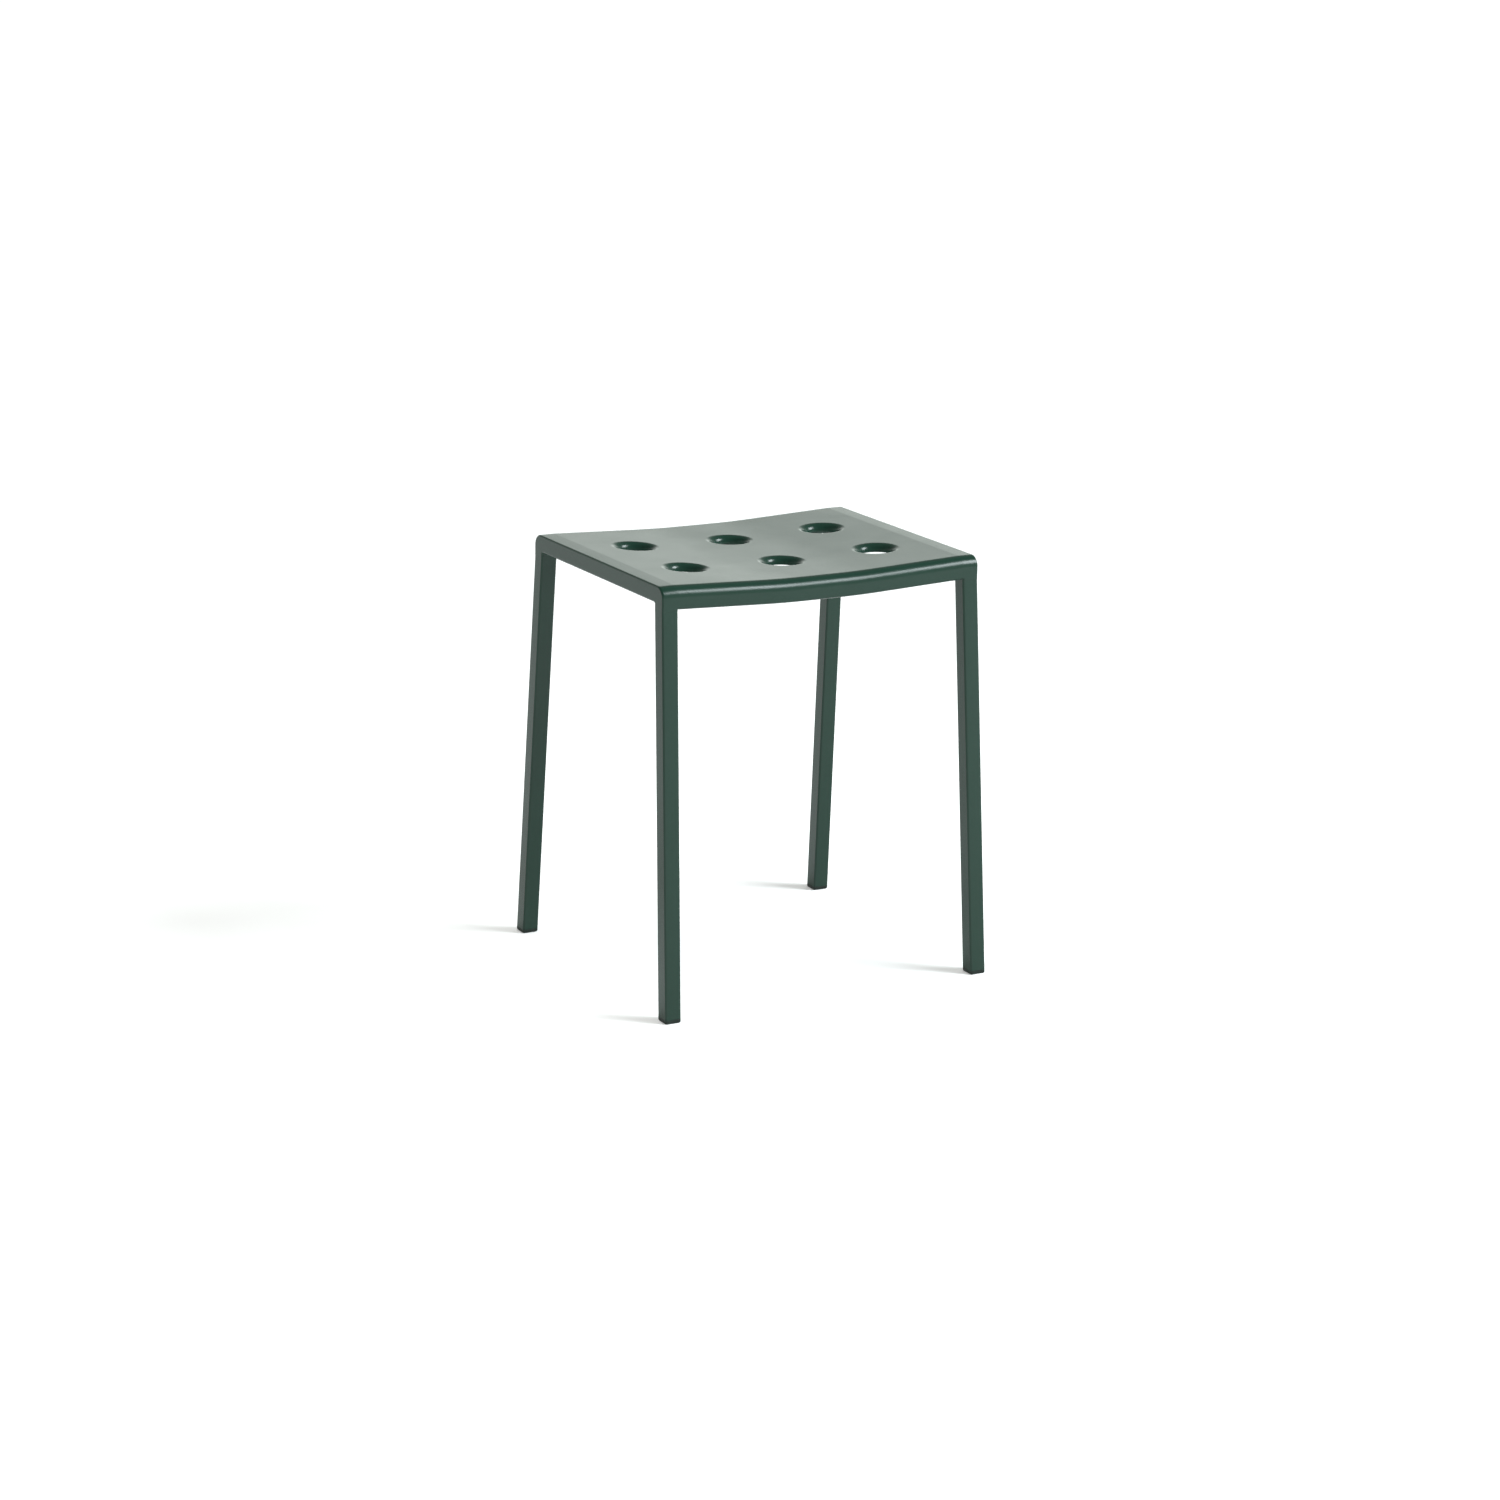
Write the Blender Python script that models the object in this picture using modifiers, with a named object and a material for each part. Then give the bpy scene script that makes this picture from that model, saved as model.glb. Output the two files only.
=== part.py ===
"""Backless one-person stool in powder-coated steel.

Two side frames, each a square-tube rail welded between two splayed square-tube legs,
carry a pressed sheet seat.  The seat dips along its length, rolls over at the front and
back into short aprons that fold back in underneath, and has six holes with lips drawn
downward.  A plastic glide plugs the open end of each leg.  Nothing moves.

Metres, +Z up, +X along the seat, -Y to the front, origin on the floor under the centre.
"""
import math

import bmesh
import bpy
from mathutils import Matrix

# Overall size
SEAT_HEIGHT = 0.455         # floor to the flat tops of the side rails
SEAT_LENGTH = 0.376         # over the outer faces of the two side frames
SEAT_DEPTH = 0.298          # over the front and back aprons
FOOT_LENGTH = 0.3896        # over the feet at the floor, along X
FOOT_DEPTH = 0.3592         # over the feet at the floor, along Y

# Square tube of the rails and legs
TUBE = 0.0182
TUBE_WALL = 0.0015
TUBE_CORNER = 0.002

# Seat sheet
SHEET = 0.002
ROLL_RADIUS = 0.012         # outer radius of the front and back edges, and of the leg tops
APRON_HEIGHT = 0.024
FLANGE_DEPTH = 0.026        # how far the sheet is folded back in under each apron
FLANGE_RADIUS = 0.003       # outer radius of that fold
DISH_SLOPE = 0.0415         # rise over run of the flat ramps towards the side rails
DISH_BEND_MIDDLE = 0.045    # distance from the centre to the middle of each soft bend
DISH_BEND_HALF = 0.025      # half the length of each soft bend
DISH_BEND_STEPS = 4

# Holes through the seat
HOLE_PITCH_X = 0.1145
HOLE_PITCH_Y = 0.1152
HOLE_MIDDLE_Y = -0.0015     # the pattern sits slightly towards the front
HOLE_CLEAR_RADIUS = 0.0186
LIP_RADIUS = 0.0076         # radius of the lip's upper surface
LIP_DEPTH = 0.0086
HOLE_SIDES = 24
LIP_STEPS = 4
ROLL_STEPS = 6
FLANGE_STEPS = 3

# Plastic glides
GLIDE_CAP = 0.0045          # height of the visible foot under the tube
GLIDE_EDGE = 0.0018         # rounding around the underside of the foot
GLIDE_STEM = 0.022          # length of the plug inside the tube
GLIDE_FIN = 0.0013          # thickness of one gripping fin
GLIDE_FIN_PITCH = 0.006
GLIDE_CORE = 0.0058         # half width of the plug between its fins

GAP = 0.0003                # clearance between pieces that touch

BEND_HEIGHT = SEAT_HEIGHT - APRON_HEIGHT    # the legs splay below this height
CORNER_STEPS = 3
FLAT_ANGLE = math.radians(0.1)              # faces closer than this to one plane are merged
SIDES = {"left": -1, "right": 1}
ENDS = {"front": -1, "back": 1}


def clear_scene():
    for old in list(bpy.data.objects):
        bpy.data.objects.remove(old, do_unlink=True)


def make_material(name, colour, roughness, metallic=0.0):
    material = bpy.data.materials.new(name)
    material.use_nodes = True
    shader = material.node_tree.nodes["Principled BSDF"]
    shader.inputs["Base Color"].default_value = (*colour, 1.0)
    shader.inputs["Roughness"].default_value = roughness
    shader.inputs["Metallic"].default_value = metallic
    return material


def corner_arc(centre_x, centre_y, radius, first_angle, steps):
    """Points on a quarter circle that starts at first_angle, given in degrees."""
    points = []
    for step in range(steps + 1):
        angle = math.radians(first_angle + 90.0 * step / steps)
        points.append((centre_x + radius * math.cos(angle), centre_y + radius * math.sin(angle)))
    return points


def rounded_square(half, corner):
    """Outline of a square centred on the origin, with rounded corners."""
    inner = half - corner
    points = []
    for turn, (side_x, side_y) in enumerate(((1, 1), (-1, 1), (-1, -1), (1, -1))):
        points += corner_arc(side_x * inner, side_y * inner, corner, 90.0 * turn, CORNER_STEPS)
    return points


def mesh_from_outlines(name, outlines, half_thickness, rim=0.0, filled=True):
    """Mesh of a 2D curve: flat outlines in XY, extruded both ways along Z."""
    curve = bpy.data.curves.new(name, "CURVE")
    curve.dimensions = "2D"
    curve.fill_mode = "BOTH" if filled else "NONE"
    curve.extrude = max(half_thickness - rim, 0.0)
    curve.bevel_depth = rim
    curve.bevel_resolution = CORNER_STEPS - 1
    curve.offset = -rim
    for outline in outlines:
        spline = curve.splines.new("POLY")
        spline.points.add(len(outline) - 1)
        for point, (across, along) in zip(spline.points, outline):
            point.co = (across, along, 0.0, 1.0)
        spline.use_cyclic_u = True
    guide = bpy.data.objects.new(name, curve)
    bpy.context.scene.collection.objects.link(guide)
    bpy.context.view_layer.update()
    evaluated = guide.evaluated_get(bpy.context.evaluated_depsgraph_get())
    mesh = bpy.data.meshes.new_from_object(evaluated)
    bpy.data.objects.remove(guide, do_unlink=True)
    bpy.data.curves.remove(curve)
    return mesh


def start_bmesh(mesh):
    """Editable copy of a mesh from a curve, with its loose caps welded on."""
    bm = bmesh.new()
    bm.from_mesh(mesh)
    bmesh.ops.remove_doubles(bm, verts=bm.verts, dist=0.00001)
    return bm


def add_part(collection, root, name, bm, material, location, wall=0.0):
    """Put a finished bmesh in the scene; wall thickens an open skin inward."""
    mesh = bpy.data.meshes.new(name)
    bmesh.ops.recalc_face_normals(bm, faces=bm.faces)
    bm.to_mesh(mesh)
    bm.free()
    mesh.materials.append(material)
    part = bpy.data.objects.new(name, mesh)
    collection.objects.link(part)
    part.parent = root
    part.location = location
    if wall:
        shell = part.modifiers.new("wall", "SOLIDIFY")
        shell.thickness = wall
        shell.offset = -1.0
        shell.use_even_offset = True
    mesh.shade_smooth()
    mesh.set_sharp_from_angle(angle=math.radians(35.0))
    return part


def dish_rise(x):
    """Height of the seat surface above its lowest line, at x from the centre."""
    ramp = abs(x) - DISH_BEND_MIDDLE
    if ramp <= -DISH_BEND_HALF:
        return 0.0
    if ramp < DISH_BEND_HALF:
        return DISH_SLOPE * (ramp + DISH_BEND_HALF) ** 2 / (4.0 * DISH_BEND_HALF)
    return DISH_SLOPE * ramp


def extrude_boundary(bm, edges, place):
    """Extrude open edges once and move each new vertex with place(vertex)."""
    grown = bmesh.ops.extrude_edge_only(bm, edges=edges)["geom"]
    for vertex in [item for item in grown if isinstance(item, bmesh.types.BMVert)]:
        place(vertex)
    new_edges = [item for item in grown if isinstance(item, bmesh.types.BMEdge)]
    return [edge for edge in new_edges if edge.is_boundary and edge not in edges]


def hole_centres():
    centres = []
    for column in (-1, 0, 1):
        for row in (-1, 1):
            centres.append((column * HOLE_PITCH_X, HOLE_MIDDLE_Y + row * HOLE_PITCH_Y / 2.0))
    return centres


def circle(centre, radius, sides):
    points = []
    for step in range(sides):
        angle = 2.0 * math.pi * step / sides
        points.append((centre[0] + radius * math.cos(angle), centre[1] + radius * math.sin(angle)))
    return points


def draw_hole_lip(bm, centre):
    """Turn the sheet down around one hole on a quarter circle."""
    outer = HOLE_CLEAR_RADIUS + LIP_RADIUS

    def set_ring(vertex, radius, height):
        away_x = vertex.co.x - centre[0]
        away_y = vertex.co.y - centre[1]
        scale = radius / math.hypot(away_x, away_y)
        vertex.co = (centre[0] + away_x * scale, centre[1] + away_y * scale, height)

    def on_rim(vertex):
        return math.hypot(vertex.co.x - centre[0], vertex.co.y - centre[1]) < outer + GAP

    rim = [edge for edge in bm.edges if edge.is_boundary and all(map(on_rim, edge.verts))]
    for vertex in {vertex for edge in rim for vertex in edge.verts}:
        set_ring(vertex, outer, 0.0)
    for step in range(1, LIP_STEPS + 1):
        angle = math.radians(90.0 * step / LIP_STEPS)
        radius = outer - LIP_RADIUS * math.sin(angle)
        height = LIP_RADIUS * (math.cos(angle) - 1.0)
        rim = extrude_boundary(bm, rim, lambda vertex: set_ring(vertex, radius, height))
    extrude_boundary(bm, rim, lambda vertex: set_ring(vertex, radius, -LIP_DEPTH))


def roll_edge(bm, end, flat_half):
    """Roll the sheet over at one end, run it down as an apron and fold it back in."""
    def at_edge(vertex):
        return abs(vertex.co.y - end * flat_half) < GAP / 10.0

    def set_row(vertex, reach, height):
        vertex.co.y = end * reach
        vertex.co.z = height

    rim = [edge for edge in bm.edges if edge.is_boundary and all(map(at_edge, edge.verts))]
    for step in range(1, ROLL_STEPS + 1):
        angle = math.radians(90.0 * step / ROLL_STEPS)
        reach = flat_half + ROLL_RADIUS * math.sin(angle)
        height = ROLL_RADIUS * (math.cos(angle) - 1.0)
        rim = extrude_boundary(bm, rim, lambda vertex: set_row(vertex, reach, height))
    face = flat_half + ROLL_RADIUS
    for step in range(FLANGE_STEPS + 1):
        angle = math.radians(90.0 * step / FLANGE_STEPS)
        reach = face - FLANGE_RADIUS * (1.0 - math.cos(angle))
        height = FLANGE_RADIUS * (1.0 - math.sin(angle)) - APRON_HEIGHT
        rim = extrude_boundary(bm, rim, lambda vertex: set_row(vertex, reach, height))
    extrude_boundary(bm, rim, lambda vertex: set_row(vertex, face - FLANGE_DEPTH, -APRON_HEIGHT))


def make_seat_panel(collection, root, material):
    """One pressed sheet: dished top, six drawn holes, rolled edges and aprons."""
    half_length = SEAT_LENGTH / 2.0 - TUBE - GAP
    flat_half = SEAT_DEPTH / 2.0 - ROLL_RADIUS
    outlines = [[(-half_length, -flat_half), (half_length, -flat_half),
                 (half_length, flat_half), (-half_length, flat_half)]]
    for centre in hole_centres():
        outlines.append(circle(centre, HOLE_CLEAR_RADIUS + LIP_RADIUS, HOLE_SIDES))
    bm = start_bmesh(mesh_from_outlines("seat_outline", outlines, 0.0))

    for step in range(DISH_BEND_STEPS + 1):
        fold = DISH_BEND_MIDDLE + DISH_BEND_HALF * (2.0 * step / DISH_BEND_STEPS - 1.0)
        for side in SIDES.values():
            everything = bm.verts[:] + bm.edges[:] + bm.faces[:]
            bmesh.ops.bisect_plane(bm, geom=everything, plane_co=(side * fold, 0.0, 0.0),
                                   plane_no=(1.0, 0.0, 0.0), dist=0.00001)
    for centre in hole_centres():
        draw_hole_lip(bm, centre)
    for end in ENDS.values():
        roll_edge(bm, end, flat_half)
    dish_depth = dish_rise(SEAT_LENGTH / 2.0 - TUBE)
    for vertex in bm.verts:
        vertex.co.z += dish_rise(vertex.co.x) - dish_depth
    bmesh.ops.dissolve_limit(bm, angle_limit=FLAT_ANGLE, verts=bm.verts, edges=bm.edges)
    add_part(collection, root, "seat_panel", bm, material, (0.0, 0.0, SEAT_HEIGHT), SHEET)


def make_side_rail(collection, root, material, side_name):
    """Straight square tube from one leg to the other."""
    half_run = SEAT_DEPTH / 2.0 - TUBE - GAP
    outline = rounded_square(TUBE / 2.0, TUBE_CORNER)
    bm = start_bmesh(mesh_from_outlines("rail_outline", [outline], half_run, filled=False))
    bm.transform(Matrix.Rotation(math.radians(90.0), 4, "X"))
    across = SIDES[side_name] * (SEAT_LENGTH - TUBE) / 2.0
    location = (across, 0.0, SEAT_HEIGHT - TUBE / 2.0)
    add_part(collection, root, side_name + "_side_rail", bm, material, location, TUBE_WALL)


def splay(bm, side, end):
    """Lean a leg or a glide, built upright on its foot, in towards the seat."""
    lean_x = (FOOT_LENGTH - SEAT_LENGTH) / 2.0 / BEND_HEIGHT
    lean_y = (FOOT_DEPTH - SEAT_DEPTH) / 2.0 / BEND_HEIGHT
    for vertex in bm.verts:
        climb = min(vertex.co.z, BEND_HEIGHT)
        vertex.co.x -= side * lean_x * climb
        vertex.co.y -= end * lean_y * climb


def foot_centre(side, end):
    return (side * (FOOT_LENGTH - TUBE) / 2.0, end * (FOOT_DEPTH - TUBE) / 2.0, 0.0)


def make_leg(collection, root, material, side_name, end_name):
    """Square tube, its outer wall folded over at the top to meet the rail."""
    side = SIDES[side_name]
    end = ENDS[end_name]
    half = TUBE / 2.0
    below_floor = -0.02
    outline = [(half, BEND_HEIGHT), (half, below_floor), (-half, below_floor), (-half, BEND_HEIGHT),
               (-half, SEAT_HEIGHT)]
    outline += corner_arc(half - ROLL_RADIUS, SEAT_HEIGHT - ROLL_RADIUS, ROLL_RADIUS, 0.0,
                          ROLL_STEPS)[::-1]
    bm = start_bmesh(mesh_from_outlines("leg_outline", [outline], half, TUBE_CORNER))
    # The outline's axes become +Y for an outward leg face and +Z for its height.
    bm.transform(Matrix(((0, 0, 1, 0), (end, 0, 0, 0), (0, 1, 0, 0), (0, 0, 0, 1))))
    splay(bm, side, end)
    everything = bm.verts[:] + bm.edges[:] + bm.faces[:]
    bmesh.ops.bisect_plane(bm, geom=everything, plane_co=(0.0, 0.0, GLIDE_CAP),
                           plane_no=(0.0, 0.0, 1.0), dist=0.00001, clear_inner=True)
    name = end_name + "_" + side_name + "_leg"
    add_part(collection, root, name, bm, material, foot_centre(side, end), TUBE_WALL)


def glide_rings():
    """Half width, corner radius and height of each ring, from the floor up."""
    half = TUBE / 2.0
    plug = half - TUBE_WALL - GAP
    rings = []
    for step in range(CORNER_STEPS + 1):
        angle = math.radians(90.0 * step / CORNER_STEPS)
        rings.append((half - GLIDE_EDGE * (1.0 - math.sin(angle)), TUBE_CORNER,
                      GLIDE_EDGE * (1.0 - math.cos(angle))))
    cap_top = GLIDE_CAP - GAP
    rings.append((half, TUBE_CORNER, cap_top))
    rings.append((GLIDE_CORE, GAP, cap_top))
    fin_bottom = cap_top + GLIDE_FIN_PITCH - GLIDE_FIN
    while fin_bottom + GLIDE_FIN <= GLIDE_CAP + GLIDE_STEM:
        rings.append((GLIDE_CORE, GAP, fin_bottom))
        rings.append((plug, GAP, fin_bottom))
        rings.append((plug, GAP, fin_bottom + GLIDE_FIN / 2.0))
        rings.append((GLIDE_CORE, GAP, fin_bottom + GLIDE_FIN))
        fin_bottom += GLIDE_FIN_PITCH
    return rings


def make_glide(collection, root, material, side_name, end_name):
    """Foot cap with a finned plug that fits the tube."""
    side = SIDES[side_name]
    end = ENDS[end_name]
    rings = glide_rings()
    bm = bmesh.new()
    first_half, first_corner, first_height = rings[0]
    ring = [bm.verts.new((x, y, first_height)) for x, y in rounded_square(first_half, first_corner)]
    edges = bm.faces.new(ring).edges[:]
    for half, corner, height in rings[1:]:
        targets = iter(rounded_square(half, corner))
        grown = bmesh.ops.extrude_edge_only(bm, edges=edges)["geom"]
        ring = [item for item in grown if isinstance(item, bmesh.types.BMVert)]
        ring.sort(key=lambda vertex: math.atan2(vertex.co.y, vertex.co.x) % (2.0 * math.pi))
        for vertex in ring:
            vertex.co = (*next(targets), height)
        edges = [item for item in grown if isinstance(item, bmesh.types.BMEdge)]
    bm.faces.new(ring)
    splay(bm, side, end)
    name = end_name + "_" + side_name + "_glide"
    add_part(collection, root, name, bm, material, foot_centre(side, end))


def main():
    clear_scene()
    collection = bpy.data.collections.new("backless_stool")
    bpy.context.scene.collection.children.link(collection)
    root = bpy.data.objects.new("stool", None)
    collection.objects.link(root)
    coat = make_material("dark_green_powder_coat", (0.035, 0.067, 0.052), 0.35)
    plastic = make_material("black_glide_plastic", (0.018, 0.020, 0.019), 0.5)
    make_seat_panel(collection, root, coat)
    for side_name in SIDES:
        make_side_rail(collection, root, coat, side_name)
        for end_name in ENDS:
            make_leg(collection, root, coat, side_name, end_name)
            make_glide(collection, root, plastic, side_name, end_name)


main()
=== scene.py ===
"""Looks of the backless stool: dressed welded side frames, a pressed seat and its finish.

Every visible piece replaces one CAD node and takes its place and size from the frame.
Metres, +Z up, +X along the seat, -Y to the front.
"""
import math

import bmesh
import bpy
from mathutils import Matrix, Vector


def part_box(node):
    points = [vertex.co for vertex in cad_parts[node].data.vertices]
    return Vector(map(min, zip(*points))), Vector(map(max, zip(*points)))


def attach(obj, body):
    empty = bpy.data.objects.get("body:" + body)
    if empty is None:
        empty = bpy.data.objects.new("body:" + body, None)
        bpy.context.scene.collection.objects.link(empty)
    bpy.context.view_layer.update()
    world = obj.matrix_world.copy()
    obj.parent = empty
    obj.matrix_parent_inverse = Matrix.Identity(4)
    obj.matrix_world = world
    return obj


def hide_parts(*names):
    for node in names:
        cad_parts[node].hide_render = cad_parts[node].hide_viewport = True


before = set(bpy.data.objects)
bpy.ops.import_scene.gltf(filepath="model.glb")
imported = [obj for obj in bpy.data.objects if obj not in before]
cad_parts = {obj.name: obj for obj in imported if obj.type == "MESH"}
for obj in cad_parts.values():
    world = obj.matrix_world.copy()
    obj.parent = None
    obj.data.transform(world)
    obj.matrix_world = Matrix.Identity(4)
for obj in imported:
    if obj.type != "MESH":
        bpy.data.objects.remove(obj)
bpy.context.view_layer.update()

# Sizes read from the frame
rail_low, rail_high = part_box("right_side_rail")
leg_low, leg_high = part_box("back_right_leg")
panel_low, panel_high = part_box("seat_panel")
TOP = rail_high[2]                      # flat tops of the rails
TUBE = rail_high[2] - rail_low[2]
OUTER_X = rail_high[0]                  # outer face of the side frame
INNER_X = rail_low[0]                   # its inner face, where the seat sheet is welded on
OUTER_Y = panel_high[1]                 # face of the aprons
JOINT_Y = OUTER_Y - TUBE                # where a rail meets a leg
FOOT_X = leg_high[0]
FOOT_Y = leg_high[1]

# Sizes of the design that no box gives
APRON = 0.024
SHEET = 0.002
WALL = 0.0015
ROLL = 0.012                            # outer radius of the seat's edges and the leg tops
ARRIS = 0.002                           # rounding of the tube's edges
FILLET = 0.002                          # dressed weld in the inner corners
WELD_Y = JOINT_Y - FILLET               # the dressed weld belongs to the leg
GLIDE_TOP = 0.0045
GLIDE_EDGE = 0.0018                     # rounding of the foot's lower edge
GLIDE_CORE = 0.0058                     # half width of the plug between its fins
GLIDE_STEM = 0.022                      # height of the plug inside the tube
GLIDE_FINS = 3
GLIDE_FIRST_FIN = 0.005                 # from the foot up to the first fin
GLIDE_FIN_PITCH = 0.006
BEND = TOP - APRON                      # the legs splay below this height
DRESSED_STEP = 0.00035                  # how far the leg lies behind the dressed face above it
DRESSED_LENGTH = 0.002                  # over what length it steps back
DISH_SLOPE = 0.0415
DISH_BEND_MIDDLE = 0.045
DISH_BEND_HALF = 0.025
HOLE_PITCH_X = 0.1145
HOLE_PITCH_Y = 0.1152
HOLE_MIDDLE_Y = -0.0015                 # the pattern sits slightly towards the front
HOLE_RADIUS = 0.0186
LIP = 0.0076                            # radius of the lip around a hole
LIP_DEPTH = 0.0086
FLANGE_DEPTH = 0.026                    # the sheet folds back in under each apron
FLANGE_RADIUS = 0.003
SAG = 0.0006                            # dip of the sheet between its two rolled edges

# How finely the meshes are made
ROLL_STEPS = 16
LIP_STEPS = 10
FLANGE_STEPS = 6
CORNER_STEPS = 6
CELL = 0.036                            # half side of the square of mesh around each hole
CELL_STEPS = 12
EDGE_ROW = 0.0004                       # narrow row that keeps a bend from shading the flat
SINK = 0.02                             # how far the legs run on before their feet are cut off
ON_PLANE = 0.000005                     # a vertex this near a cutting plane lies on it
SAME_PLACE = 0.00001                    # points closer than this are one point
CUT_EDGE_ANGLE = 55.0                   # sharper than this, an edge of the sheet was cut

# Looks of the coat and of the glides
COAT_DARK = (0.0064, 0.0264, 0.0172)
COAT_LIGHT = (0.0072, 0.0282, 0.0186)
COAT_SPECK = (0.0110, 0.0360, 0.0255)
COAT_ROUGHNESS = 0.25
COAT_SMEAR = 0.012                      # how much the roughness varies each way
COAT_SPECULAR = 0.27
GLIDE_DARK = (0.007, 0.013, 0.010)
GLIDE_SCUFF = (0.014, 0.022, 0.018)
GLIDE_SPECULAR = 0.22

# Radiance of the studio wall by the sine of the elevation, and how it varies sideways
WALL_STOPS = ((0.01, 1.71), (0.17, 1.70), (0.26, 1.36), (0.42, 0.42), (0.60, 0.30), (0.99, 0.30))
WALL_TINT = (0.95, 1.0, 0.955)
LEFT_SHARE = 0.78
RIGHT_SHARE = 1.18
FRONT_SHARE = 0.6
# Painted light: glow of the floor by distance. Near the stool it pales the stool's own shadows,
# and further out it makes up for the light falling off
FLOOR_SIZE = 60.0
FLOOR_WHITE = 0.9
FLOOR_REACH = 20.0
FLOOR_GLOW = ((0.02, 0.20), (0.9, 0.21), (1.3, 0.16), (2.2, 0.15), (3.2, 0.24), (4.5, 0.38),
              (6.4, 0.53), (9.5, 0.66), (15.0, 0.75), (19.9, 0.80))

# The camera stands at the front left and looks down at the seat
CAMERA_PLACE = (-1.9276, -3.4631, 1.2997)
CAMERA_LENS = 91.16
CAMERA_TURN = math.radians(29.086)
CAMERA_DOWN = math.radians(15.129)
CAMERA_ROLL = math.radians(1.012)

LEAN_X = (FOOT_X - OUTER_X) / (BEND - GLIDE_TOP)
LEAN_Y = (FOOT_Y - OUTER_Y) / (BEND - GLIDE_TOP)
SIDES = {"left": -1, "right": 1}
ENDS = {"front": -1, "back": 1}


# ---------------------------------------------------------------- materials

def add_node(tree, kind, **values):
    """A shader node, with its properties and its inputs set by name."""
    node = tree.nodes.new(kind)
    for key, value in values.items():
        if hasattr(node, key):
            setattr(node, key, value)
        else:
            node.inputs[key.replace("_", " ")].default_value = value
    return node


def noise(tree, coordinates, scale, detail, roughness=0.5):
    node = add_node(tree, "ShaderNodeTexNoise", Scale=scale, Detail=detail, Roughness=roughness)
    tree.links.new(coordinates, node.inputs["Vector"])
    return node.outputs["Fac"]


def remap(tree, value, low, high, to_low, to_high):
    node = add_node(tree, "ShaderNodeMapRange")
    node.inputs["From Min"].default_value = low
    node.inputs["From Max"].default_value = high
    node.inputs["To Min"].default_value = to_low
    node.inputs["To Max"].default_value = to_high
    tree.links.new(value, node.inputs["Value"])
    return node.outputs["Result"]


def mix_colour(tree, amount, first, second):
    node = add_node(tree, "ShaderNodeMix", data_type="RGBA")
    tree.links.new(amount, node.inputs[0])
    for socket, colour in ((node.inputs[6], first), (node.inputs[7], second)):
        if isinstance(colour, tuple):
            socket.default_value = (*colour, 1.0)
        else:
            tree.links.new(colour, socket)
    return node.outputs[2]


def bump(tree, height, strength, distance, below=None):
    node = add_node(tree, "ShaderNodeBump", Strength=strength, Distance=distance)
    tree.links.new(height, node.inputs["Height"])
    if below is not None:
        tree.links.new(below, node.inputs["Normal"])
    return node.outputs["Normal"]


def start_material(name):
    material = bpy.data.materials.new(name)
    material.use_nodes = True
    tree = material.node_tree
    place = add_node(tree, "ShaderNodeTexCoord").outputs["Object"]
    return material, tree, tree.nodes["Principled BSDF"], place


def powder_coat():
    """Dark green powder coat: orange peel, a fine grain and slight clouding."""
    material, tree, shader, place = start_material("dark_green_powder_coat")
    cloud = remap(tree, noise(tree, place, 9.0, 3.0), 0.3, 0.7, 0.0, 1.0)
    speck = remap(tree, noise(tree, place, 1400.0, 2.0), 0.60, 0.75, 0.0, 0.35)
    base = mix_colour(tree, cloud, COAT_DARK, COAT_LIGHT)
    base = mix_colour(tree, speck, base, COAT_SPECK)
    tree.links.new(base, shader.inputs["Base Color"])
    smear = noise(tree, place, 26.0, 4.0)
    gloss = remap(tree, smear, 0.3, 0.7, COAT_ROUGHNESS - COAT_SMEAR,
                  COAT_ROUGHNESS + COAT_SMEAR)
    tree.links.new(gloss, shader.inputs["Roughness"])
    shader.inputs["Specular IOR Level"].default_value = COAT_SPECULAR
    peel = bump(tree, noise(tree, place, 420.0, 2.0), 0.05, 0.0004)
    grain = bump(tree, noise(tree, place, 1900.0, 2.0), 0.05, 0.0001, peel)
    tree.links.new(grain, shader.inputs["Normal"])
    return material


def glide_plastic():
    """Dark moulded plastic with a fine spark-eroded grain."""
    material, tree, shader, place = start_material("glide_plastic")
    scuff = remap(tree, noise(tree, place, 180.0, 4.0), 0.45, 0.75, 0.0, 0.6)
    base = mix_colour(tree, scuff, GLIDE_DARK, GLIDE_SCUFF)
    tree.links.new(base, shader.inputs["Base Color"])
    gloss = remap(tree, noise(tree, place, 320.0, 3.0), 0.3, 0.7, 0.42, 0.58)
    tree.links.new(gloss, shader.inputs["Roughness"])
    shader.inputs["Specular IOR Level"].default_value = GLIDE_SPECULAR
    grain = bump(tree, noise(tree, place, 2600.0, 2.0), 0.2, 0.0001)
    tree.links.new(grain, shader.inputs["Normal"])
    return material


coat = powder_coat()
plastic = glide_plastic()


# ---------------------------------------------------------------- mesh helpers

def corner_arc(centre_x, centre_y, radius, first_angle, last_angle, steps):
    """Points on an arc between two angles, given in degrees."""
    points = []
    for step in range(steps + 1):
        angle = math.radians(first_angle + (last_angle - first_angle) * step / steps)
        points.append((centre_x + radius * math.cos(angle), centre_y + radius * math.sin(angle)))
    return points


def rounded_square(half, corner, steps):
    inner = half - corner
    points = []
    for turn, (side_x, side_y) in enumerate(((1, 1), (-1, 1), (-1, -1), (1, -1))):
        first = 90.0 * turn
        points += corner_arc(side_x * inner, side_y * inner, corner, first, first + 90.0, steps)
    return points


def cut(bm, point, normal, drop_beyond):
    """Cut a mesh at a plane and, if asked, drop what the normal points to."""
    everything = bm.verts[:] + bm.edges[:] + bm.faces[:]
    bmesh.ops.bisect_plane(bm, geom=everything, plane_co=point, plane_no=normal,
                           dist=ON_PLANE, clear_outer=drop_beyond)


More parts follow.
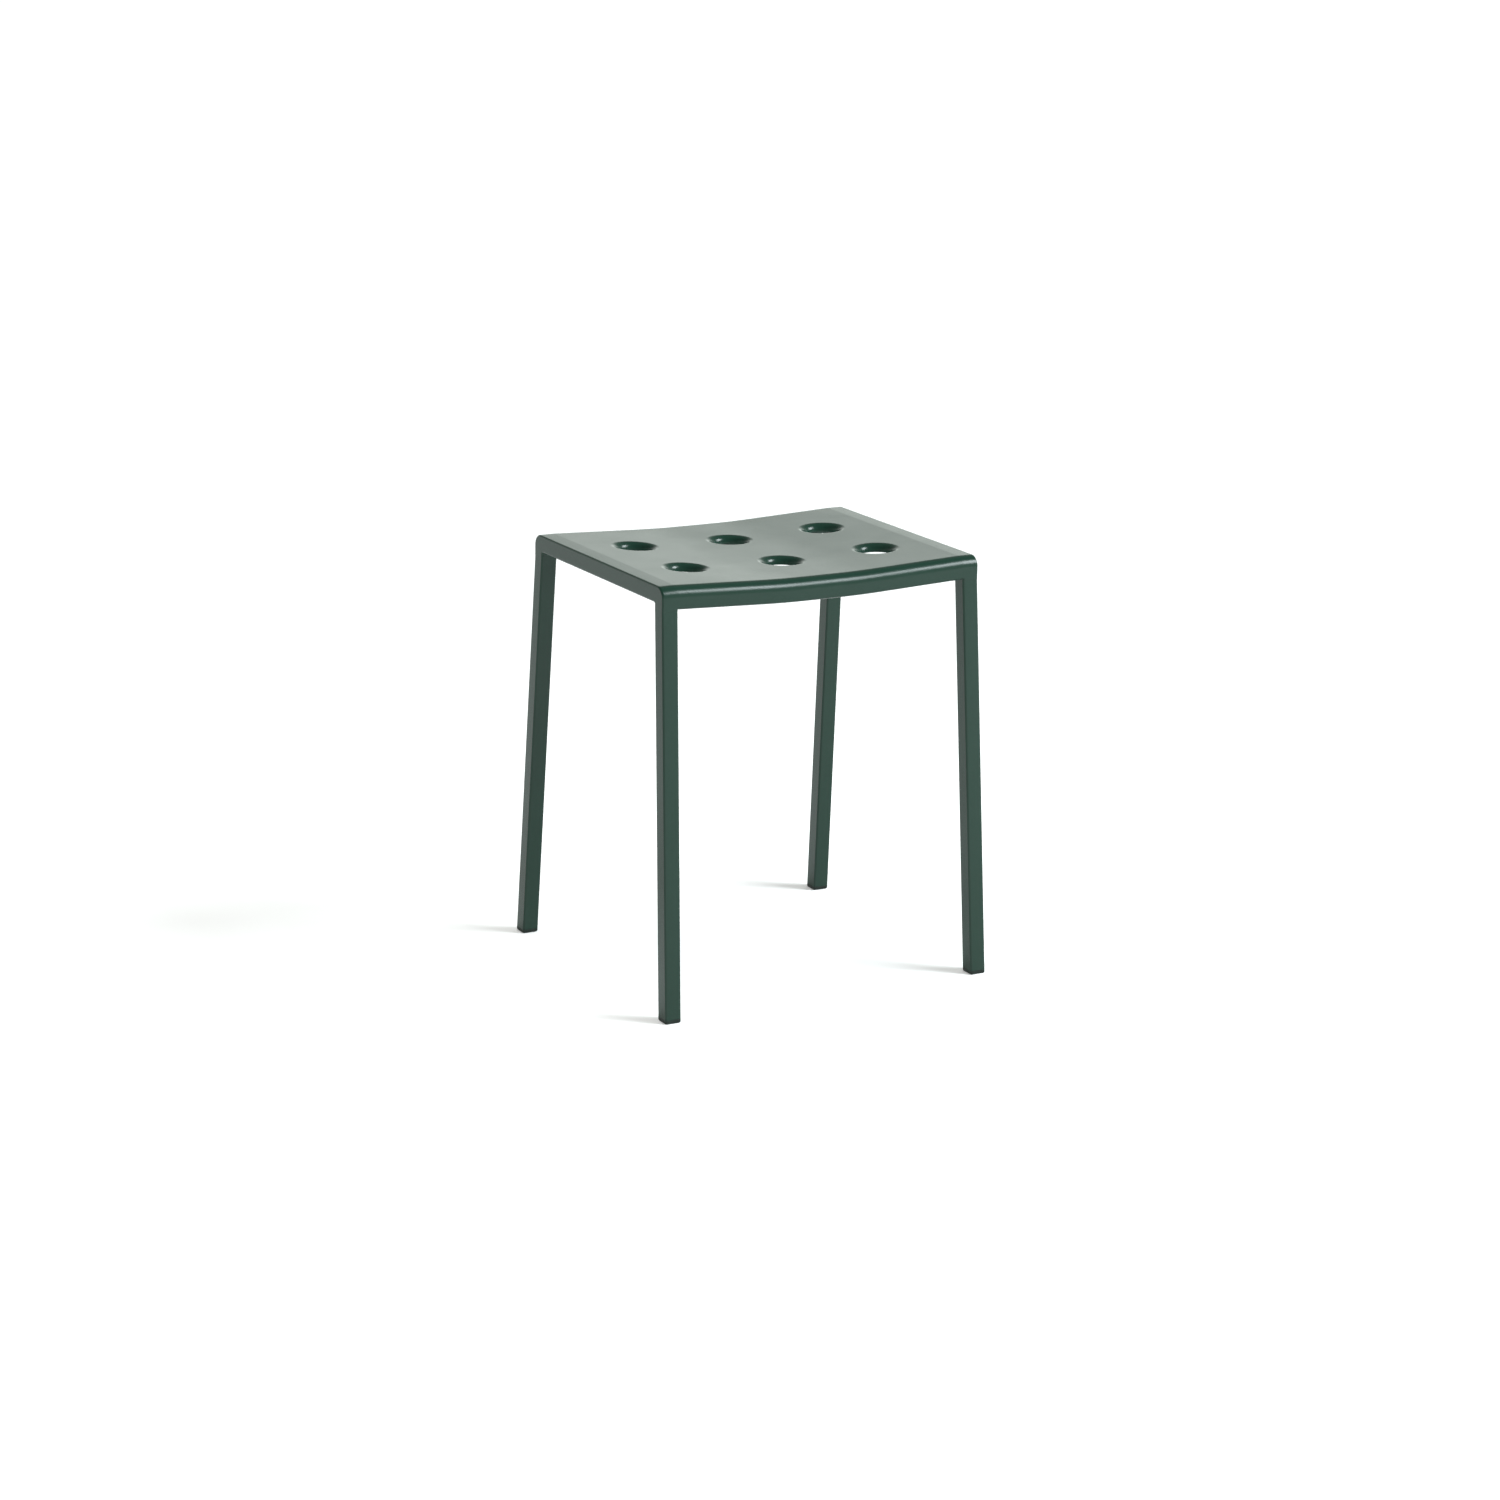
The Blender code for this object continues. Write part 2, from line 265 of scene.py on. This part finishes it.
def add_piece(name, bm, material, node, sharp=40.0):
    """Finish a mesh as one piece of the stool and hide the CAD node it replaces."""
    mesh = bpy.data.meshes.new(name)
    bmesh.ops.recalc_face_normals(bm, faces=bm.faces)
    bm.to_mesh(mesh)
    bm.free()
    mesh.materials.append(material)
    mesh.shade_smooth()
    mesh.set_sharp_from_angle(angle=math.radians(sharp))
    piece = bpy.data.objects.new(name, mesh)
    bpy.context.scene.collection.objects.link(piece)
    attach(piece, "root")
    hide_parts(node)
    return piece


def add_wall(piece, thickness):
    """Give an open skin its wall, with crisp cut edges."""
    shell = piece.modifiers.new("wall", "SOLIDIFY")
    shell.thickness = thickness
    shell.offset = -1.0
    shell.use_even_offset = True
    shell.use_quality_normals = True
    crisp = piece.modifiers.new("cut_edges", "EDGE_SPLIT")
    crisp.split_angle = math.radians(CUT_EDGE_ANGLE)


def add_flat_shading(piece):
    """Keep the large faces flat beside their rounded edges."""
    normals = piece.modifiers.new("flat_faces", "WEIGHTED_NORMAL")
    normals.weight = 100
    normals.keep_sharp = True


# ---------------------------------------------------------------- side frames

def frame_outline():
    """Side view of one side frame, in Y and Z, from the back foot round to the front."""
    foot = OUTER_Y + LEAN_Y * (BEND + SINK)
    outer = [(foot, -SINK),
             (OUTER_Y - DRESSED_STEP + LEAN_Y * DRESSED_LENGTH, BEND - DRESSED_LENGTH),
             (OUTER_Y, BEND - EDGE_ROW)]
    outer += corner_arc(OUTER_Y - ROLL, TOP - ROLL, ROLL, 0.0, 90.0, ROLL_STEPS)
    inner = corner_arc(JOINT_Y - FILLET, TOP - TUBE - FILLET, FILLET, 90.0, 0.0, CORNER_STEPS)
    inner += [(JOINT_Y, BEND), (foot - TUBE, -SINK)]
    outer_mirrored = [(-y, z) for y, z in outer[::-1]]
    inner_mirrored = [(-y, z) for y, z in inner[::-1]]
    return outer + outer_mirrored + inner_mirrored + inner


def outline_mesh(outline, half_width, rim):
    """A flat outline made into a thick plate with rounded rims, as a mesh."""
    curve = bpy.data.curves.new("outline", "CURVE")
    curve.dimensions = "2D"
    curve.fill_mode = "BOTH"
    curve.extrude = half_width - rim
    curve.bevel_depth = rim
    curve.bevel_resolution = 5
    curve.offset = -rim
    spline = curve.splines.new("POLY")
    spline.points.add(len(outline) - 1)
    for point, (across, along) in zip(spline.points, outline):
        point.co = (across, along, 0.0, 1.0)
    spline.use_cyclic_u = True
    guide = bpy.data.objects.new("outline", curve)
    bpy.context.scene.collection.objects.link(guide)
    bpy.context.view_layer.update()
    evaluated = guide.evaluated_get(bpy.context.evaluated_depsgraph_get())
    mesh = bpy.data.meshes.new_from_object(evaluated)
    bpy.data.objects.remove(guide, do_unlink=True)
    bpy.data.curves.remove(curve)
    return mesh


def side_frame(side):
    """One whole side frame as a single skin, open at its two feet."""
    mesh = outline_mesh(frame_outline(), TUBE / 2.0, ARRIS)
    bm = bmesh.new()
    bm.from_mesh(mesh)
    bpy.data.meshes.remove(mesh)
    bmesh.ops.remove_doubles(bm, verts=bm.verts, dist=SAME_PLACE)
    bm.transform(Matrix(((0, 0, 1, 0), (1, 0, 0, 0), (0, 1, 0, 0), (0, 0, 0, 1))))
    cut(bm, (0, 0, BEND), (0, 0, 1), drop_beyond=False)
    cut(bm, (0, 0, GLIDE_TOP), (0, 0, -1), drop_beyond=True)
    for vertex in bm.verts:
        vertex.co.x += side * ((OUTER_X + INNER_X) / 2.0 + LEAN_X * max(BEND - vertex.co.z, 0.0))
    return bm


def keep_between(bm, low_y, high_y):
    """Cut the frame at its weld planes and keep what lies between them."""
    for limit, outward in ((low_y, -1), (high_y, 1)):
        if limit is not None:
            cut(bm, (0, limit, 0), (0, outward, 0), drop_beyond=True)


def make_side_frames():
    """A rail and two legs on each side, cut from one frame at their welds."""
    for side_name, side in SIDES.items():
        bm = side_frame(side)
        keep_between(bm, -WELD_Y, WELD_Y)
        rail = add_piece(side_name + "_rail_tube", bm, coat,
                         side_name + "_side_rail")
        add_wall(rail, WALL)
        add_flat_shading(rail)
        for end_name, end in ENDS.items():
            bm = side_frame(side)
            if end < 0:
                keep_between(bm, None, -WELD_Y)
            else:
                keep_between(bm, WELD_Y, None)
            name = end_name + "_" + side_name + "_leg"
            leg = add_piece(name + "_tube", bm, coat, name)
            add_wall(leg, WALL)
            add_flat_shading(leg)


# ---------------------------------------------------------------- seat

def dish_height(x):
    """Height of the seat surface at x; level over the weld on the rail."""
    reach = min(abs(x), INNER_X)
    depth = DISH_SLOPE * (INNER_X - DISH_BEND_MIDDLE)
    ramp = reach - DISH_BEND_MIDDLE
    if ramp <= -DISH_BEND_HALF:
        return TOP - depth
    if ramp < DISH_BEND_HALF:
        return TOP - depth + DISH_SLOPE * (ramp + DISH_BEND_HALF) ** 2 / (4.0 * DISH_BEND_HALF)
    return TOP - depth + DISH_SLOPE * ramp


def spread(first, last, steps):
    """Evenly spaced values from first up to, but not including, last."""
    return [first + (last - first) * step / steps for step in range(steps)]


def seat_columns():
    """Grid lines along X: fine at the holes, and at the fillets by the legs."""
    lines = spread(0.0, CELL, CELL_STEPS // 2)[1:]
    lines += spread(CELL, HOLE_PITCH_X - CELL, 7)
    lines += spread(HOLE_PITCH_X - CELL, HOLE_PITCH_X + CELL, CELL_STEPS)
    lines += spread(HOLE_PITCH_X + CELL, INNER_X - FILLET, 3)
    lines += [INNER_X - FILLET, INNER_X - EDGE_ROW, INNER_X + EDGE_ROW, INNER_X + ARRIS]
    return [-value for value in lines[::-1]] + [0.0] + lines


def seat_rows():
    """Grid lines along Y, out to where the front and back edges start to roll."""
    flat = OUTER_Y - ROLL
    front = HOLE_MIDDLE_Y - HOLE_PITCH_Y / 2.0
    back = HOLE_MIDDLE_Y + HOLE_PITCH_Y / 2.0
    lines = [-flat] + spread(EDGE_ROW - flat, front - CELL, 6)
    lines += spread(front - CELL, front + CELL, CELL_STEPS)
    lines += spread(front + CELL, back - CELL, 6)
    lines += spread(back - CELL, back + CELL, CELL_STEPS)
    lines += spread(back + CELL, flat - EDGE_ROW, 6)
    return lines + [flat - EDGE_ROW, flat]


def hole_centres():
    return [(column * HOLE_PITCH_X, HOLE_MIDDLE_Y + row * HOLE_PITCH_Y / 2.0)
            for column in (-1, 0, 1) for row in (-1, 1)]


def seat_grid(bm, centres):
    """Flat sheet of quads with a square left open around every hole."""
    columns = seat_columns()
    rows = seat_rows()
    net = [[bm.verts.new((x, y, 0.0)) for y in rows] for x in columns]
    for i in range(len(columns) - 1):
        middle_x = (columns[i] + columns[i + 1]) / 2.0
        for j in range(len(rows) - 1):
            middle_y = (rows[j] + rows[j + 1]) / 2.0
            inside = any(abs(middle_x - x) < CELL and abs(middle_y - y) < CELL
                         for x, y in centres)
            if not inside:
                bm.faces.new((net[i][j], net[i + 1][j], net[i + 1][j + 1], net[i][j + 1]))
    loose = [vertex for vertex in bm.verts if not vertex.link_faces]
    bmesh.ops.delete(bm, geom=loose, context="VERTS")


def square_angle(dx, dy):
    """Angle that spreads the points of a square's outline evenly round a circle."""
    if abs(dx) >= abs(dy):
        return (0.0 if dx > 0 else math.pi) + math.pi / 4.0 * dy / dx
    return math.copysign(math.pi / 2.0, dy) - math.pi / 4.0 * dx / dy


def draw_lip(bm, centre):
    """Close the square around a hole to a circle, then turn the sheet down."""
    centre_x, centre_y = centre
    outer = HOLE_RADIUS + LIP

    def on_square(vertex):
        reach = max(abs(vertex.co.x - centre_x), abs(vertex.co.y - centre_y))
        return abs(reach - CELL) < SAME_PLACE

    rim = [edge for edge in bm.edges if edge.is_boundary and all(map(on_square, edge.verts))]
    corners = {}
    for vertex in {vertex for edge in rim for vertex in edge.verts}:
        start = (vertex.co.x - centre_x, vertex.co.y - centre_y)
        corners[vertex] = (start, square_angle(*start))
    rings = [(share, outer + EDGE_ROW, 0.0) for share in (0.3, 0.6, 0.85, 1.0)]
    rings.append((1.0, outer, 0.0))
    for step in range(1, LIP_STEPS + 1):
        angle = math.radians(90.0 * step / LIP_STEPS)
        rings.append((1.0, outer - LIP * math.sin(angle), LIP * (math.cos(angle) - 1.0)))
    rings.append((1.0, HOLE_RADIUS, -LIP_DEPTH))
    for share, radius, height in rings:
        grown = bmesh.ops.extrude_edge_only(bm, edges=rim)["geom"]
        new_rim = [item for item in grown if isinstance(item, bmesh.types.BMEdge)]
        new_corners = {}
        for vertex in {vertex for edge in new_rim for vertex in edge.verts}:
            parent = next(edge.other_vert(vertex) for edge in vertex.link_edges
                          if edge.other_vert(vertex) in corners)
            (start_x, start_y), angle = corners[parent]
            vertex.co.x = centre_x + start_x * (1.0 - share) + radius * math.cos(angle) * share
            vertex.co.y = centre_y + start_y * (1.0 - share) + radius * math.sin(angle) * share
            vertex.co.z = height
            new_corners[vertex] = ((start_x, start_y), angle)
        corners = new_corners
        rim = new_rim


def roll_edge(bm, end):
    """Roll the sheet over at one end, run it down as an apron and fold it back in."""
    flat = OUTER_Y - ROLL
    rim = [edge for edge in bm.edges if edge.is_boundary
           and all(abs(vertex.co.y - end * flat) < SAME_PLACE for vertex in edge.verts)]
    rows = []
    for step in range(1, ROLL_STEPS + 1):
        angle = math.radians(90.0 * step / ROLL_STEPS)
        rows.append((flat + ROLL * math.sin(angle), ROLL * (math.cos(angle) - 1.0)))
    straight = APRON - ROLL - FLANGE_RADIUS
    rows.append((OUTER_Y, -ROLL - EDGE_ROW))
    rows += [(OUTER_Y, -ROLL - share * straight) for share in (0.3, 0.6, 0.85, 1.0)]
    for step in range(1, FLANGE_STEPS + 1):
        angle = math.radians(90.0 * step / FLANGE_STEPS)
        rows.append((OUTER_Y - FLANGE_RADIUS * (1.0 - math.cos(angle)),
                     FLANGE_RADIUS * (1.0 - math.sin(angle)) - APRON))
    rows += [(OUTER_Y - share * FLANGE_DEPTH, -APRON) for share in (0.15, 0.5, 1.0)]
    for reach, height in rows:
        grown = bmesh.ops.extrude_edge_only(bm, edges=rim)["geom"]
        for vertex in [item for item in grown if isinstance(item, bmesh.types.BMVert)]:
            vertex.co.y = end * reach
            vertex.co.z = height
        rim = [item for item in grown if isinstance(item, bmesh.types.BMEdge)]


def make_seat():
    """The pressed sheet: flat net, holes and rolled ends, then bent to its dish."""
    bm = bmesh.new()
    centres = hole_centres()
    seat_grid(bm, centres)
    for centre in centres:
        draw_lip(bm, centre)
    for end in ENDS.values():
        roll_edge(bm, end)
    for vertex in bm.verts:
        across = min(abs(vertex.co.y) / (OUTER_Y - ROLL), 1.0)
        along = min(abs(vertex.co.x) / INNER_X, 1.0)
        sag = SAG * (1.0 - across ** 2) * (1.0 - along ** 2)
        vertex.co.z += dish_height(vertex.co.x) - sag
    seat = add_piece("seat_sheet", bm, coat, "seat_panel", sharp=60.0)
    add_wall(seat, SHEET)


# ---------------------------------------------------------------- glides

def glide_rings():
    """Half width, corner radius and height of each ring of a glide, from the floor up."""
    half = TUBE / 2.0
    chamfer = 0.0002                    # on the foot's upper edge
    fin_half = half - WALL - 0.0001     # a push fit in the tube
    fin_corner = 0.0005
    core_corner = 0.001
    rings = []
    for point_x, point_z in corner_arc(half - GLIDE_EDGE, GLIDE_EDGE, GLIDE_EDGE, -90.0, 0.0,
                                       CORNER_STEPS):
        rings.append((point_x, ARRIS, point_z))
    rings.append((half, ARRIS, GLIDE_TOP - chamfer))
    rings.append((half - chamfer, ARRIS, GLIDE_TOP))
    rings.append((GLIDE_CORE, core_corner, GLIDE_TOP))
    for fin in range(GLIDE_FINS):
        bottom = GLIDE_TOP + GLIDE_FIRST_FIN + GLIDE_FIN_PITCH * fin
        rings.append((GLIDE_CORE, core_corner, bottom))
        rings.append((fin_half, fin_corner, bottom))
        rings.append((fin_half, fin_corner, bottom + 0.0006))
        rings.append((GLIDE_CORE, core_corner, bottom + 0.0014))
    rings.append((GLIDE_CORE, core_corner, GLIDE_TOP + GLIDE_STEM))
    rings.append((GLIDE_CORE - core_corner, core_corner, GLIDE_TOP + GLIDE_STEM + core_corner))
    return rings


def make_glide(side_name, end_name):
    """One foot glide with its finned plug, leaning with the leg."""
    side = SIDES[side_name]
    end = ENDS[end_name]
    bm = bmesh.new()
    rows = []
    for half, corner, height in glide_rings():
        centre_x = side * (FOOT_X - TUBE / 2.0 - LEAN_X * (height - GLIDE_TOP))
        centre_y = end * (FOOT_Y - TUBE / 2.0 - LEAN_Y * (height - GLIDE_TOP))
        rows.append([bm.verts.new((centre_x + x, centre_y + y, height))
                     for x, y in rounded_square(half, corner, CORNER_STEPS)])
    for low, high in zip(rows, rows[1:]):
        for i in range(len(low)):
            j = (i + 1) % len(low)
            bm.faces.new((low[i], low[j], high[j], high[i]))
    bm.faces.new(rows[0])
    bm.faces.new(rows[-1])
    name = end_name + "_" + side_name + "_glide"
    add_flat_shading(add_piece(name + "_foot", bm, plastic, name))


# ---------------------------------------------------------------- studio

def make_floor():
    """Pale floor with a painted glow: it pales the stool's shadows near it and keeps the floor
    white where the lamps no longer reach.
    """
    bpy.ops.mesh.primitive_plane_add(size=FLOOR_SIZE, location=(0.0, 0.0, 0.0))
    floor = bpy.context.object
    floor.name = "studio_floor"
    material = bpy.data.materials.new("floor_paper")
    material.use_nodes = True
    shader = material.node_tree.nodes["Principled BSDF"]
    shader.inputs["Base Color"].default_value = (FLOOR_WHITE, FLOOR_WHITE, FLOOR_WHITE, 1.0)
    shader.inputs["Roughness"].default_value = 0.9
    shader.inputs["Specular IOR Level"].default_value = 0.0
    shader.inputs["Emission Color"].default_value = (1.0, 1.0, 1.0, 1.0)
    tree = material.node_tree
    place = add_node(tree, "ShaderNodeTexCoord").outputs["Object"]
    reach = add_node(tree, "ShaderNodeVectorMath", operation="LENGTH")
    tree.links.new(place, reach.inputs[0])
    glow = add_node(tree, "ShaderNodeValToRGB")
    for distance, light in FLOOR_GLOW:
        stop = glow.color_ramp.elements.new(distance / FLOOR_REACH)
        stop.color = (light, light, light, 1.0)
    glow.color_ramp.elements.remove(glow.color_ramp.elements[0])
    glow.color_ramp.elements.remove(glow.color_ramp.elements[-1])
    share = remap(tree, reach.outputs["Value"], 0.0, FLOOR_REACH, 0.0, 1.0)
    tree.links.new(share, glow.inputs["Fac"])
    # painted light: the glow drives the floor's emission
    tree.links.new(glow.outputs["Color"], shader.inputs["Emission Strength"])
    floor.data.materials.append(material)


def make_world():
    """Bright wall all round, darker towards the ceiling, the left and the front."""
    world = bpy.data.worlds.new("studio")
    world.use_nodes = True
    tree = world.node_tree
    direction = add_node(tree, "ShaderNodeTexCoord").outputs["Generated"]
    split = add_node(tree, "ShaderNodeSeparateXYZ")
    tree.links.new(direction, split.inputs[0])
    ramp = add_node(tree, "ShaderNodeValToRGB")
    ramp.color_ramp.interpolation = "LINEAR"
    stops = ramp.color_ramp.elements
    for place, light in WALL_STOPS:
        stop = stops.new(place)
        stop.color = (*[share * light for share in WALL_TINT], 1.0)
    stops.remove(stops[0])
    stops.remove(stops[-1])
    tree.links.new(split.outputs["Z"], ramp.inputs["Fac"])
    sideways = remap(tree, split.outputs["X"], 0.40, 0.54, LEFT_SHARE, RIGHT_SHARE)
    forward = remap(tree, split.outputs["Y"], -0.2, 0.3, FRONT_SHARE, 1.0)
    both = add_node(tree, "ShaderNodeMath", operation="MULTIPLY")
    tree.links.new(sideways, both.inputs[0])
    tree.links.new(forward, both.inputs[1])
    tree.links.new(ramp.outputs["Color"], tree.nodes["Background"].inputs["Color"])
    tree.links.new(both.outputs["Value"], tree.nodes["Background"].inputs["Strength"])
    bpy.context.scene.world = world


def add_softbox(name, azimuth, elevation, distance, size, radiance, colour):
    """Round area light that faces the stool; azimuth goes from the front to the right."""
    turn = math.radians(azimuth)
    rise = math.radians(elevation)
    away = Vector((math.sin(turn) * math.cos(rise), -math.cos(turn) * math.cos(rise),
                   math.sin(rise)))
    light = bpy.data.lights.new(name, "AREA")
    light.shape = "ELLIPSE"
    light.size = size
    light.size_y = size
    light.energy = radiance * math.pi * size * size
    light.color = colour
    lamp = bpy.data.objects.new(name, light)
    lamp.location = Vector((0.0, 0.0, TOP)) + away * distance
    lamp.rotation_euler = away.to_track_quat("Z", "Y").to_euler()
    bpy.context.scene.collection.objects.link(lamp)
    return lamp


def make_camera():
    camera = bpy.data.cameras.new("camera")
    camera.sensor_width = 36.0
    camera.lens = CAMERA_LENS
    camera.clip_end = 200.0
    view = bpy.data.objects.new("camera", camera)
    view.matrix_world = (Matrix.Translation(CAMERA_PLACE)
                         @ Matrix.Rotation(-CAMERA_TURN, 4, "Z")
                         @ Matrix.Rotation(math.pi / 2.0 - CAMERA_DOWN, 4, "X")
                         @ Matrix.Rotation(CAMERA_ROLL, 4, "Z"))
    bpy.context.scene.collection.objects.link(view)
    bpy.context.scene.camera = view


make_side_frames()
make_seat()
for side_name in SIDES:
    for end_name in ENDS:
        make_glide(side_name, end_name)
make_floor()
make_world()
add_softbox("key_softbox", azimuth=52.0, elevation=35.0, distance=7.0, size=3.4,
            radiance=20.0, colour=(0.90, 0.97, 1.0))
fill = add_softbox("top_fill", azimuth=-60.0, elevation=80.0, distance=6.0, size=5.0,
                   radiance=2.4, colour=(1.0, 0.98, 0.95))
fill.visible_glossy = False
make_camera()
bpy.context.scene.view_settings.view_transform = "Standard"
